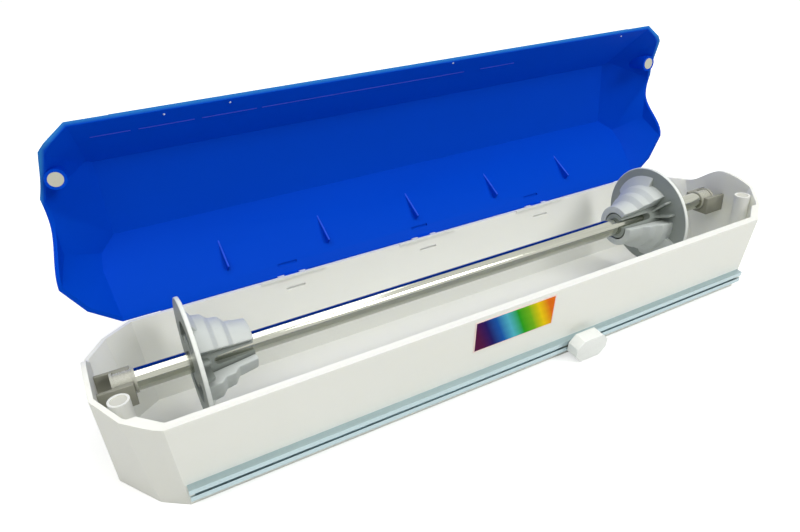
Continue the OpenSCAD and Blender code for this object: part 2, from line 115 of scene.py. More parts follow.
def add_node(
    tree: Tree,
    kind: str,
    options: dict[str, Any] | None = None,
    values: dict[str | int, Any] | None = None,
    links: dict[str | int, Socket] | None = None,
) -> bpy.types.Node:
    """Adds one shader node.

    Args:
        tree: The node tree that takes the node.
        kind: Blender's name for the node type.
        options: Attributes of the node.
        values: Constants for its input sockets.
        links: Output sockets that feed its input sockets.

    Returns:
        The new node.
    """
    node = tree.nodes.new(kind)
    for name, value in (options or {}).items():
        setattr(node, name, value)
    for name, value in (values or {}).items():
        node.inputs[name].default_value = value
    for name, source in (links or {}).items():
        tree.links.new(source, node.inputs[name])
    return node


def seen_rays(tree: Tree) -> Socket:
    """Tells rays that reach the eye, straight or by mirror or glass, from rays that only carry light.

    Args:
        tree: The node tree that takes the nodes.

    Returns:
        A socket that is one for seen rays and zero for the others.
    """
    rays = add_node(tree, "ShaderNodeLightPath").outputs
    seen = rays["Is Camera Ray"]
    for kind in ("Is Glossy Ray", "Is Transmission Ray"):
        seen = add_node(
            tree, "ShaderNodeMath", options={"operation": "MAXIMUM"}, links={0: seen, 1: rays[kind]}
        ).outputs["Value"]
    return seen


def gloss_and_relief(
    tree: Tree, pattern: Socket, roughness: tuple[float, float], depth_mm: float
) -> dict[str, Socket]:
    """Turns one fine pattern into uneven gloss and relief.

    Args:
        tree: The material's node tree.
        pattern: The noise pattern.
        roughness: Roughness where the pattern is low and where it is high.
        depth_mm: Depth of the relief.

    Returns:
        Links for a shader's roughness and normal.
    """
    rough = add_node(
        tree, "ShaderNodeMapRange",
        values={
            "From Min": NOISE_LOW, "From Max": NOISE_HIGH, "To Min": roughness[0], "To Max": roughness[1]
        },
        links={"Value": pattern},
    )
    bump = add_node(
        tree, "ShaderNodeBump", values={"Strength": 1.0, "Distance": depth_mm * MM}, links={"Height": pattern}
    )
    return {"Roughness": rough.outputs["Result"], "Normal": bump.outputs["Normal"]}


def new_material(name: str) -> tuple[Material, Tree]:
    """Makes an empty node material.

    Args:
        name: Name of the material.

    Returns:
        The material and its cleared node tree.
    """
    material = bpy.data.materials.new(name)
    material.use_nodes = True
    material.node_tree.nodes.clear()
    return material, material.node_tree


@dataclass(frozen=True)
class MouldedPlastic:
    """Injection-moulded plastic: a soft sheen, a fine die texture and faint flow tones.

    Attributes:
        name: Name of the material.
        light: Colour of the thicker, paler flow.
        dark: Colour of the thinner, deeper flow.
        roughness: Lowest and highest roughness.
        flow_mm: Width of the flow tones.
        grain_mm: Spacing of the die texture, drawn coarser than life so that it shows.
        grain_depth_mm: Depth of the die texture.
        specular: Strength of the mirror part of the sheen.
        coat: Weight of the polished skin.
        coat_roughness: Roughness of the polished skin.
        glow: Share of the light that goes into the plastic and comes out elsewhere.
        glow_mm: Distance that this light goes.
        glow_tint: Shares of this distance for red, green and blue.
        flow_squeeze: Scale of the flow tones along X, where below one makes them longer.
        ior: Refractive index, a middle value for polystyrene, polypropylene and ABS.
    """

    name: str
    light: str
    dark: str
    roughness: tuple[float, float]
    flow_mm: float
    grain_mm: float
    grain_depth_mm: float
    specular: float = 0.5
    coat: float = 0.0
    coat_roughness: float = 0.12
    glow: float = 0.0
    glow_mm: float = 4.0
    glow_tint: tuple[float, float, float] = (1.0, 0.95, 0.8)
    flow_squeeze: float = 0.35
    ior: float = 1.55

    def with_edge_highlight(self, tree: Tree, place: Socket, colour: Socket) -> Socket:
        """Gives the colour with a painted edge highlight, which plain mouldings don't have."""
        return colour

    def build(self) -> Material:
        """Builds the material.

        Returns:
            The new material.
        """
        material, tree = new_material(self.name)
        place = add_node(tree, "ShaderNodeTexCoord").outputs["Object"]
        stretched = add_node(
            tree, "ShaderNodeMapping", values={"Scale": (self.flow_squeeze, 1.0, 1.0)},
            links={"Vector": place},
        ).outputs["Vector"]
        flow = add_node(
            tree, "ShaderNodeTexNoise",
            values={"Scale": 1 / (self.flow_mm * MM), "Detail": 3.0, "Roughness": 0.55},
            links={"Vector": stretched},
        ).outputs["Fac"]
        grain = add_node(
            tree, "ShaderNodeTexNoise",
            values={"Scale": 1 / (self.grain_mm * MM), "Detail": 2.0, "Roughness": 0.6},
            links={"Vector": place},
        ).outputs["Fac"]
        colour = add_node(
            tree, "ShaderNodeMix", options={"data_type": "RGBA"},
            values={MIX_LOW: linear(self.dark), MIX_HIGH: linear(self.light)}, links={MIX_SHARE: flow},
        ).outputs[MIX_RESULT]
        shader = add_node(
            tree, "ShaderNodeBsdfPrincipled",
            values={
                "IOR": self.ior, "Specular IOR Level": self.specular,
                "Coat Weight": self.coat, "Coat Roughness": self.coat_roughness,
                "Subsurface Weight": self.glow, "Subsurface Scale": self.glow_mm * MM,
                "Subsurface Radius": self.glow_tint,
            },
            links={
                "Base Color": self.with_edge_highlight(tree, place, colour),
                **gloss_and_relief(tree, grain, self.roughness, self.grain_depth_mm),
            },
        )
        add_node(tree, "ShaderNodeOutputMaterial", links={"Surface": shader.outputs["BSDF"]})
        return material


@dataclass(frozen=True)
class EdgeHighlightPlastic(MouldedPlastic):
    """Moulded plastic with a painted highlight: its colour is painted paler along its outer edge.

    Attributes:
        edge: Colour of the painted highlight along the edge.
        fade_mm: Distances outwards where the painted highlight starts and where it is full.
    """

    edge: str = "#FFFFFF"
    fade_mm: tuple[float, float] = (0.0, 1.0)

    def outwards(self, tree: Tree, place: Socket) -> Socket:
        """Measures in metres how far out a place lies; each shape of piece has its own way."""
        raise NotImplementedError

    def with_edge_highlight(self, tree: Tree, place: Socket, colour: Socket) -> Socket:
        """Gives the colour with the painted highlight along the edge.

        Args:
            tree: The material's node tree.
            place: Place on the piece.
            colour: Colour without the painted highlight.

        Returns:
            Colour with the painted highlight.
        """
        # Share of the painted highlight, from none inside to full at the outer edge.
        highlight_share = add_node(
            tree, "ShaderNodeMapRange",
            values={"From Min": self.fade_mm[0] * MM, "From Max": self.fade_mm[1] * MM},
            links={"Value": self.outwards(tree, place)},
        ).outputs["Result"]
        return add_node(
            tree, "ShaderNodeMix", options={"data_type": "RGBA"},
            values={MIX_HIGH: linear(self.edge)}, links={MIX_SHARE: highlight_share, MIX_LOW: colour},
        ).outputs[MIX_RESULT]


@dataclass(frozen=True)
class EdgeHighlightDisc(EdgeHighlightPlastic):
    """Plastic of a disc that turns about an axis along X, with a painted highlight on its outer edge.

    Attributes:
        axis_mm: Height of the axis.
    """

    axis_mm: float = 0.0

    def outwards(self, tree: Tree, place: Socket) -> Socket:
        """Measures the distance from the axis.

        Args:
            tree: The material's node tree.
            place: Place on the piece.

        Returns:
            Distance in metres.
        """
        from_axis = add_node(
            tree, "ShaderNodeMapping",
            values={"Location": (0.0, 0.0, -self.axis_mm * MM), "Scale": (0.0, 1.0, 1.0)},
            links={"Vector": place},
        ).outputs["Vector"]
        return add_node(
            tree, "ShaderNodeVectorMath", options={"operation": "LENGTH"}, links={0: from_axis}
        ).outputs["Value"]


@dataclass(frozen=True)
class EdgeHighlightRim(EdgeHighlightPlastic):
    """Plastic of a tub's rim with straight sides, the same to the left and the right, with a painted
    highlight along the rim.

    Attributes:
        corners_mm: Corners of the outline, X and Z, from its middle to its end.
    """

    corners_mm: tuple[tuple[float, float], ...] = ()

    def outwards(self, tree: Tree, place: Socket) -> Socket:
        """Measures the distance from the nearest side.

        Args:
            tree: The material's node tree.
            place: Place on the piece.

        Returns:
            Distance in metres, negative inside the outline.
        """
        half = add_node(
            tree, "ShaderNodeVectorMath", options={"operation": "ABSOLUTE"}, links={0: place}
        ).outputs["Vector"]
        nearest = None
        for (x0, z0), (x1, z1) in zip(self.corners_mm, self.corners_mm[1:]):
            side = math.hypot(x1 - x0, z1 - z0)
            out_x, out_z = (z0 - z1) / side, (x1 - x0) / side
            along = add_node(
                tree, "ShaderNodeVectorMath", options={"operation": "DOT_PRODUCT"},
                values={1: (out_x, 0.0, out_z)}, links={0: half},
            ).outputs["Value"]
            past = add_node(
                tree, "ShaderNodeMath", options={"operation": "SUBTRACT"},
                values={1: (out_x * x0 + out_z * z0) * MM}, links={0: along},
            ).outputs["Value"]
            nearest = past if nearest is None else add_node(
                tree, "ShaderNodeMath", options={"operation": "MAXIMUM"}, links={0: nearest, 1: past}
            ).outputs["Value"]
        return nearest


@dataclass(frozen=True)
class DrawnMetal:
    """Drawn or extruded metal: fine die lines along X that streak colour, gloss and height.

    Attributes:
        name: Name of the material.
        light: Colour of the bright lines.
        dark: Colour of the dull lines.
        roughness: Lowest and highest roughness.
        line_mm: Spacing of the die lines, drawn coarser than life so that they show.
        line_depth_mm: Depth of the die lines.
        stretch: Length of a line as a multiple of the spacing.
    """

    name: str
    light: str
    dark: str
    roughness: tuple[float, float]
    line_mm: float
    line_depth_mm: float
    stretch: float = 60.0

    def build(self) -> Material:
        """Builds the material.

        Returns:
            The new material.
        """
        material, tree = new_material(self.name)
        place = add_node(tree, "ShaderNodeTexCoord").outputs["Object"]
        along = add_node(
            tree, "ShaderNodeMapping", values={"Scale": (1 / self.stretch, 1.0, 1.0)}, links={"Vector": place}
        ).outputs["Vector"]
        lines = add_node(
            tree, "ShaderNodeTexNoise",
            values={"Scale": 1 / (self.line_mm * MM), "Detail": 3.0, "Roughness": 0.6},
            links={"Vector": along},
        ).outputs["Fac"]
        colour = add_node(
            tree, "ShaderNodeMix", options={"data_type": "RGBA"},
            values={MIX_LOW: linear(self.dark), MIX_HIGH: linear(self.light)}, links={MIX_SHARE: lines},
        ).outputs[MIX_RESULT]
        shader = add_node(
            tree, "ShaderNodeBsdfPrincipled", values={"Metallic": 1.0},
            links={
                "Base Color": colour, **gloss_and_relief(tree, lines, self.roughness, self.line_depth_mm)
            },
        )
        add_node(tree, "ShaderNodeOutputMaterial", links={"Surface": shader.outputs["BSDF"]})
        return material


@dataclass(frozen=True)
class PrintedFilm:
    """Printed plastic film: soft slanted colour bands under a thin clear skin.

    Attributes:
        name: Name of the material.
        bands: Colours from the left edge to the right edge.
        middle_mm: Place of the middle of the print along X.
        width_mm: Width of the print.
        slant: Sideways shift of the bands for each unit of height.
        dot_mm: Spacing of the printing dots, drawn coarser than life so that they show.
        dot_tones: Brightness in the middle of a dot and between dots.
        size_mm: Width and height of the whole label.
        margin: Colour of the unprinted margin.
        margin_mm: Width of the margin.
        roughness: Roughness of the film.
        specular: Strength of its mirror part.
        coat: Weight of the clear skin.
        coat_roughness: Roughness of the clear skin.
    """

    name: str
    bands: tuple[str, ...]
    middle_mm: float
    width_mm: float
    slant: float
    dot_mm: float
    dot_tones: tuple[float, float]
    size_mm: tuple[float, float]
    margin: str
    margin_mm: float
    roughness: float
    specular: float
    coat: float
    coat_roughness: float

    def print_colour(self, tree: Tree, place: Socket) -> Socket:
        """Lays the slanted bands, broken up by the printing dots.

        Args:
            tree: The material's node tree.
            place: Place on the label.

        Returns:
            Colour of the print.
        """
        axes = add_node(tree, "ShaderNodeSeparateXYZ", links={"Vector": place}).outputs
        across = add_node(
            tree, "ShaderNodeMath", options={"operation": "MULTIPLY_ADD"},
            values={1: self.slant}, links={0: axes["Z"], 2: axes["X"]},
        ).outputs["Value"]
        left = (self.middle_mm - self.width_mm / 2) * MM
        share = add_node(
            tree, "ShaderNodeMapRange", values={"From Min": left, "From Max": left + self.width_mm * MM},
            links={"Value": across},
        ).outputs["Result"]
        ramp = add_node(tree, "ShaderNodeValToRGB", links={"Fac": share})
        elements = ramp.color_ramp.elements
        while len(elements) < len(self.bands):
            elements.new(0.5)
        for index, band in enumerate(self.bands):
            elements[index].position = index / (len(self.bands) - 1)
            elements[index].color = linear(band)
        dots = add_node(
            tree, "ShaderNodeTexVoronoi", values={"Scale": 1 / (self.dot_mm * MM), "Randomness": 0.2},
            links={"Vector": place},
        ).outputs["Distance"]
        dotted = add_node(
            tree, "ShaderNodeMapRange",
            values={"From Max": 0.6, "To Min": self.dot_tones[0], "To Max": self.dot_tones[1]},
            links={"Value": dots},
        ).outputs["Result"]
        return add_node(
            tree, "ShaderNodeMix", options={"data_type": "RGBA", "blend_type": "MULTIPLY"},
            values={MIX_SHARE: 1.0}, links={MIX_LOW: ramp.outputs["Color"], MIX_HIGH: dotted},
        ).outputs[MIX_RESULT]

    def inside_margin(self, tree: Tree, shares: Socket) -> Socket:
        """Tells the printed field from the margin.

        Args:
            tree: The material's node tree.
            shares: Place as shares of the label's width, depth and height.

        Returns:
            A socket that is one in the printed field and zero in the margin.
        """
        axes = add_node(tree, "ShaderNodeSeparateXYZ", links={"Vector": shares}).outputs
        inside = []
        for axis, length in zip("XZ", self.size_mm):
            # Folding the share at its middle leaves the distance from the nearer edge.
            from_edge = add_node(
                tree, "ShaderNodeMath", options={"operation": "PINGPONG"},
                values={1: 0.5}, links={0: axes[axis]},
            ).outputs["Value"]
            inside.append(add_node(
                tree, "ShaderNodeMath", options={"operation": "GREATER_THAN"},
                values={1: self.margin_mm / length}, links={0: from_edge},
            ).outputs["Value"])
        return add_node(
            tree, "ShaderNodeMath", options={"operation": "MINIMUM"}, links={0: inside[0], 1: inside[1]}
        ).outputs["Value"]

    def build(self) -> Material:
        """Builds the material.

        Returns:
            The new material.
        """
        material, tree = new_material(self.name)
        coords = add_node(tree, "ShaderNodeTexCoord").outputs
        printed = self.inside_margin(tree, coords["Generated"])
        colour = add_node(
            tree, "ShaderNodeMix", options={"data_type": "RGBA"}, values={MIX_LOW: linear(self.margin)},
            links={MIX_SHARE: printed, MIX_HIGH: self.print_colour(tree, coords["Object"])},
        ).outputs[MIX_RESULT]
        shader = add_node(
            tree, "ShaderNodeBsdfPrincipled",
            values={
                "Roughness": self.roughness, "Specular IOR Level": self.specular,
                "Coat Weight": self.coat, "Coat Roughness": self.coat_roughness,
            },
            links={"Base Color": colour},
        )
        add_node(tree, "ShaderNodeOutputMaterial", links={"Surface": shader.outputs["BSDF"]})
        return material


@dataclass(frozen=True)
class StudioPaper:
    """Matt paper that takes a soft shadow near the object and is white to the eye further off.

    Attributes:
        name: Name of the material.
        light: Colour of the pale fibres.
        dark: Colour of the dull fibres.
        fibre_mm: Spacing of the fibres, drawn coarser than life so that they show.
        lift_from: Distances from the middle where the white starts to rise and where it is full.
        lift: Glow that the eye sees at these distances.
    """

    name: str
    light: str
    dark: str
    fibre_mm: float
    lift_from: tuple[float, float]
    lift: tuple[float, float]

    def build(self) -> Material:
        """Builds the material.

        Returns:
            The new material.
        """
        material, tree = new_material(self.name)
        place = add_node(tree, "ShaderNodeTexCoord").outputs["Object"]
        fibre = add_node(
            tree, "ShaderNodeTexNoise", values={"Scale": 1 / (self.fibre_mm * MM), "Detail": 2.0},
            links={"Vector": place},
        ).outputs["Fac"]
        tone = add_node(
            tree, "ShaderNodeMix", options={"data_type": "RGBA"},
            values={MIX_LOW: linear(self.dark), MIX_HIGH: linear(self.light)}, links={MIX_SHARE: fibre},
        ).outputs[MIX_RESULT]
        paper = add_node(tree, "ShaderNodeBsdfDiffuse", links={"Color": tone}).outputs["BSDF"]
        away = add_node(
            tree, "ShaderNodeVectorMath", options={"operation": "LENGTH"}, links={0: place}
        ).outputs["Value"]
        lift = add_node(
            tree, "ShaderNodeMapRange",
            values={
                "From Min": self.lift_from[0], "From Max": self.lift_from[1],
                "To Min": self.lift[0], "To Max": self.lift[1],
            },
            links={"Value": away},
        ).outputs["Result"]
        glow = add_node(
            tree, "ShaderNodeEmission", values={"Color": linear("#FFFFFF")}, links={"Strength": lift}
        ).outputs["Emission"]
        lifted = add_node(tree, "ShaderNodeAddShader", links={0: paper, 1: glow}).outputs["Shader"]
        surface = add_node(
            tree, "ShaderNodeMixShader", links={0: seen_rays(tree), 1: paper, 2: lifted}
        ).outputs["Shader"]
        add_node(tree, "ShaderNodeOutputMaterial", links={"Surface": surface})
        return material


# High-impact polystyrene, moulded against a satin die: warm off-white with a soft, broad sheen.
OFF_WHITE = MouldedPlastic(
    "polystyrene_off_white", "#EEEFE9", "#E8E9E2", roughness=(0.36, 0.48),
    flow_mm=70.0, grain_mm=1.4, grain_depth_mm=0.008, specular=0.3, glow=0.3,
)
# High-impact polystyrene, moulded against a satin die: deep royal blue with little sheen, and painted
# paler along its upper rim as a painted highlight where the rim's edge catches the light.
ROYAL_BLUE = EdgeHighlightRim(
    "polystyrene_royal_blue", "#0049D0", "#0042C4", roughness=(0.42, 0.54),
    flow_mm=80.0, grain_mm=1.6, grain_depth_mm=0.006, specular=0.02,
    edge="#3080D0", fade_mm=(-2.8, -0.7),
    corners_mm=((0.0, 212.2), (250.9, 212.2), (268.3, 197.9), (278.1, 161.7)),
)
# The same blue on the ribs' crests, painted paler as a painted highlight where the crests catch the light.
CREST_HIGHLIGHT_BLUE = MouldedPlastic(
    "polystyrene_crest_painted_highlight", "#3C68F0", "#3460E4", roughness=(0.3, 0.4),
    flow_mm=12.0, grain_mm=0.8, grain_depth_mm=0.004, specular=0.2,
)
# The same blue on the raised bead, painted a paler violet as a painted highlight along its rounded top.
BEAD_HIGHLIGHT_BLUE = MouldedPlastic(
    "polystyrene_bead_painted_highlight", "#4450D4", "#3646C6", roughness=(0.42, 0.54),
    flow_mm=12.0, grain_mm=0.8, grain_depth_mm=0.004, specular=0.1,
)
# The same blue where a gate was broken off, painted pale as painted glints, and dull.
MARK_GLINT_BLUE = MouldedPlastic(
    "polystyrene_gate_mark_painted_glint", "#DCE6FA", "#C4D2F0", roughness=(0.5, 0.6),
    flow_mm=2.0, grain_mm=0.4, grain_depth_mm=0.004,
)
# Polypropylene, moulded: cool pale grey, rather dull.
PALE_GREY = MouldedPlastic(
    "polypropylene_pale_grey", "#C9CECB", "#BEC4C0", roughness=(0.4, 0.54),
    flow_mm=30.0, grain_mm=1.2, grain_depth_mm=0.006, specular=0.35,
)
# Polypropylene, moulded and dull: the flanges painted down to a middle grey as painted shade on their faces,
# with a painted highlight along the edge.
FLANGE_SHADE_AND_HIGHLIGHT = EdgeHighlightDisc(
    "polypropylene_flange_painted_shade_and_highlight", "#959C96", "#8B928C", roughness=(0.4, 0.54),
    flow_mm=30.0, grain_mm=1.2, grain_depth_mm=0.006, specular=0.35,
    edge="#E4E8E3", fade_mm=(43.0, 43.6), axis_mm=SPINDLE_AXIS_MM,
)
# Polypropylene, moulded against a smooth die: warm grey with a trace of green and a soft gloss.
WARM_GREY = MouldedPlastic(
    "polypropylene_warm_grey", "#B4B4A7", "#A9A99B", roughness=(0.22, 0.32),
    flow_mm=30.0, grain_mm=1.2, grain_depth_mm=0.003, specular=0.5,
)
# Polypropylene, moulded and dull: the cradles' warm grey painted deeper as painted shade, for the shade that
# falls on them.
CRADLE_SHADE_GREY = MouldedPlastic(
    "polypropylene_cradle_painted_shade", "#949487", "#89897B", roughness=(0.42, 0.56),
    flow_mm=30.0, grain_mm=1.2, grain_depth_mm=0.006, specular=0.3,
)
# ABS, moulded against a polished die: clean white and glossy.
WHITE_ABS = MouldedPlastic(
    "abs_white", "#EEF1EE", "#EAEDEA", roughness=(0.26, 0.34),
    flow_mm=30.0, grain_mm=0.9, grain_depth_mm=0.0012, specular=0.4, coat=0.15,
)
# Stainless tube, drawn and polished: bright with hair lines along its length.
POLISHED_TUBE = DrawnMetal(
    "stainless_polished_tube", "#CCCDC0", "#B0B2A4", roughness=(0.08, 0.16), line_mm=0.9, line_depth_mm=0.002
)
# Aluminium, extruded and anodised: cool satin silver with die lines along its length.
SATIN_RAIL = DrawnMetal(
    "aluminium_anodised_rail", "#BDCED1", "#A9BCC2", roughness=(0.28, 0.42), line_mm=0.8, line_depth_mm=0.004
)
# Carbon steel, cold drawn: plain bright grey.
BRIGHT_STEEL = DrawnMetal(
    "steel_cold_drawn", "#C2C3BF", "#AEB0AB", roughness=(0.22, 0.36),
    line_mm=0.7, line_depth_mm=0.003, stretch=20.0,
)
# Tumbled steel: the same metal with a dull, pale face.
DULL_STEEL = DrawnMetal(
    "steel_tumbled", "#CBCBC2", "#BFBFB6", roughness=(0.68, 0.8),
    line_mm=0.7, line_depth_mm=0.003, stretch=2.0,
)
# Nickel plate on a sintered magnet: warm, slightly clouded silver.
NICKEL = DrawnMetal(
    "nickel_plate", "#B2B1A4", "#A2A194", roughness=(0.3, 0.45),
    line_mm=1.2, line_depth_mm=0.003, stretch=1.0,
)
# Printed polyester film under a thin clear skin: strong, even colours with hardly a gleam.
COLOUR_BANDS = PrintedFilm(
    "polyester_printed_film",
    ("#4E063C", "#190A5C", "#0E54A8", "#4FB0C4", "#1F9A10", "#6DB010", "#E8C800", "#E06A0A"),
    middle_mm=17.0, width_mm=64.0, slant=0.42, dot_mm=1.1, dot_tones=(0.92, 1.06),
    size_mm=(70.0, 27.0), margin="#F4DFDA", margin_mm=0.9,
    roughness=0.36, specular=0.03, coat=0.02, coat_roughness=0.1,
)
# Uncoated background paper: matt white with a trace of fibre.
FLOOR_PAPER = StudioPaper(
    "studio_floor_paper", "#DEDFDE", "#DADBDA", fibre_mm=2.5, lift_from=(0.3, 1.4), lift=(0.5, 1.0)
)


def paint(piece: Piece, material: Material) -> None:
    """Gives all faces of a piece one material.

    Args:
        piece: The mesh object.
        material: The material.
    """
    piece.data.materials.clear()
    piece.data.materials.append(material)
    for polygon in piece.data.polygons:
        polygon.material_index = 0


def shade(piece: Piece, material: Material, sharp_deg: float = 30.0) -> None:
    """Gives a piece its material and smooth shading that breaks at sharp edges.

    Args:
        piece: The mesh object.
        material: The material for all its faces.
        sharp_deg: Angle above which an edge stays sharp.
    """
    paint(piece, material)
    for polygon in piece.data.polygons:
        polygon.use_smooth = True
    piece.data.set_sharp_from_angle(angle=math.radians(sharp_deg))


def dress(node: str, material: Material) -> None:
    """Gives a frame node a better material and keeps its mesh as it is.

    Args:
        node: Name of the node.
        material: The material.
    """
    paint(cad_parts[node], material)
    log.info("dressed %s in %s", node, material.name)


def place_piece(piece: Piece, body: Body, slot: Slot, *nodes: str) -> None:
    """Sets a piece on its body and hides the nodes that it stands for.

    Args:
        piece: The finished piece.
        body: The body that carries it.
        slot: The record's material slot; not used.
        nodes: Frame nodes that it stands for.
    """
    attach(piece, body.value)
    if nodes:
        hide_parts(*nodes)
    log.info("placed %s on %s", piece.name, body.value)


def link_mesh(name: str, mesh: bmesh.types.BMesh) -> Piece:
    """Turns a bmesh into an object in the scene.

    Args:
        name: Name of the object.
        mesh: The bmesh, which is freed.

    Returns:
        The new object.
    """
    data = bpy.data.meshes.new(name)
    mesh.normal_update()
    mesh.to_mesh(data)
    mesh.free()
    piece = bpy.data.objects.new(name, data)
    bpy.context.scene.collection.objects.link(piece)
    return piece


def add_rod(mesh: bmesh.types.BMesh, radius_mm: float, length: float, placing: Matrix) -> None:
    """Adds a closed round rod that lies along its own Z axis.

    Args:
        mesh: The bmesh that takes the rod.
        radius_mm: Radius of the rod.
        length: Length of the rod.
        placing: Matrix that places the rod's middle.
    """
    radius = radius_mm * MM
    bmesh.ops.create_cone(
        mesh, cap_ends=True, segments=ROD_SIDES, radius1=radius, radius2=radius, depth=length, matrix=placing
    )


def rounded_copy(
    node: str, name: str, radius_mm: float, chosen: Callable[[Vector], bool] | None = None
) -> Piece:
    """Copies a frame node and rounds its sharp edges, as a moulding's edges are.

    Args:
        node: Name of the node.
        name: Name of the new piece.
        radius_mm: Radius of the rounding.
        chosen: Says from the middle of an edge in millimetres if the edge is rounded; without it all are.

    Returns:
        The new piece.
    """
    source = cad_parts[node]
    mesh = bmesh.new()
    mesh.from_mesh(source.data)
    mesh.transform(source.matrix_world)
    bmesh.ops.remove_doubles(mesh, verts=mesh.verts, dist=MERGE_MM * MM)
    bmesh.ops.dissolve_limit(
        mesh, angle_limit=math.radians(FLAT_DEG), verts=mesh.verts, edges=mesh.edges,
        use_dissolve_boundaries=False,
    )
    sharp = [
        edge for edge in mesh.edges
        if len(edge.link_faces) == 2
        and edge.calc_face_angle(0.0) > math.radians(EDGE_DEG)
        and (chosen is None or chosen((edge.verts[0].co + edge.verts[1].co) / (2 * MM)))
    ]
    bmesh.ops.bevel(
        mesh, geom=sharp, offset=radius_mm * MM, offset_type="OFFSET", segments=ROUND_STEPS,
        profile=ROUND_PROFILE, affect="EDGES", clamp_overlap=True,
    )
    return link_mesh(name, mesh)


@dataclass
class Trough:
    """The standing half: trough, cradles, rail with its stops, latch seats, hinge pins and label.

    Attributes:
        rim_mm: Radius of the rim's rounded edges.
        rim_low_mm: Height above which an edge belongs to the rim.
        rim_back_mm: Depth behind which the rim stays sharp, beside the hinge.
        boss_mm: Place of a latch boss along X and Y, to the right of the middle.
        boss_reach_mm: Distance from a boss's axis within which edges stay sharp.
        cradle_mm: Radius of the cradles' edges.
        crease_deg: Angle above which two faces of the trough meet in a crease.
    """

    rim_mm: float = 1.1
    rim_low_mm: float = 67.9
    rim_back_mm: float = 52.0
    boss_mm: tuple[float, float] = (265.0, -38.5)
    boss_reach_mm: float = 9.0
    cradle_mm: float = 0.5
    crease_deg: float = 12.0

    def on_rim(self, middle: Vector) -> bool:
        """Says from its middle if an edge is on the free rim, away from the hinge and the latch bosses."""
        from_boss = math.hypot(abs(middle.x) - self.boss_mm[0], middle.y - self.boss_mm[1])
        return middle.z > self.rim_low_mm and middle.y < self.rim_back_mm and from_boss > self.boss_reach_mm

    def build(self) -> None:
        """Builds and dresses every piece that stands still."""
        white = OFF_WHITE.build()
        # The cradles are painted a deeper grey as painted shade.
        grey = CRADLE_SHADE_GREY.build()
        tub = rounded_copy("base_trough", "trough_moulding", self.rim_mm, self.on_rim)
        shade(tub, white, self.crease_deg)
        place_piece(tub, Body.BASE, Slot.TROUGH, "base_trough")
        for side in ("left", "right"):
            cradle = rounded_copy(f"{side}_cradle", f"{side}_cradle_moulding", self.cradle_mm)
            shade(cradle, grey)
            place_piece(cradle, Body.BASE, Slot.CRADLE, f"{side}_cradle")
        dress("cutter_rail", SATIN_RAIL.build())
        dress("rail_stops", white)
        dress("latch_seats", DULL_STEEL.build())
        dress("hinge_pins", BRIGHT_STEEL.build())
        dress("front_label", COLOUR_BANDS.build())


